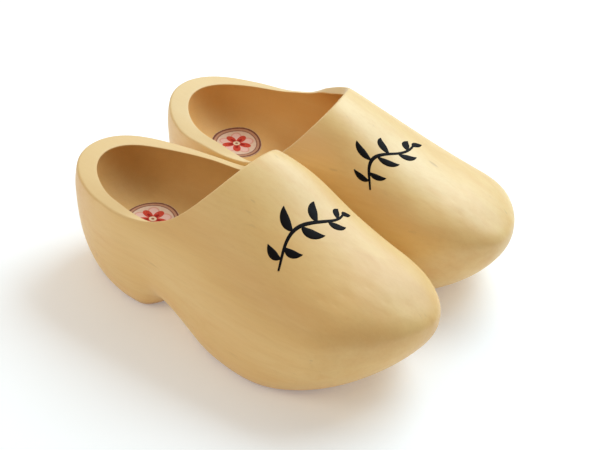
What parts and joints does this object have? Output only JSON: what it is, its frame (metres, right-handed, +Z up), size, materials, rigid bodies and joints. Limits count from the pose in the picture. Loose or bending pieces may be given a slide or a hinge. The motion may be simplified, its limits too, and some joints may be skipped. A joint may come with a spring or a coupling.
{
  "type": "wooden clog pair",
  "caption": "Pair of carved wooden clogs with open heels, flat eased rims, rounded toes, arched soles, heel labels and a painted leaf sprig.",
  "frame": {"origin": "on the floor, under the centre of the pair's bounding box", "axes": "+X towards the toes, +Y towards the wearer's left, +Z up from the floor"},
  "size_m": [0.3082, 0.2356, 0.1156],
  "materials": {
    "wood_right": "satin, finely sanded, clear waxed",
    "wood_left": "satin, finely sanded, clear waxed",
    "label_right": "printed, satin",
    "label_left": "printed, satin",
    "paint_right": "black brush paint, semi-gloss",
    "paint_left": "black brush paint, semi-gloss"
  },
  "bodies": {
    "right": {"right_clog": "wood_right", "right_heel_label": "label_right", "right_vamp_sprig": "paint_right"},
    "left": {"left_clog": "wood_left", "left_heel_label": "label_left", "left_vamp_sprig": "paint_left"}
  },
  "joints": [
    {"name": "left_clog_slide", "type": "slide", "parent": "right", "child": "left", "axis": [0, 1, 0], "range_m": [0, 0.15]}
  ]
}
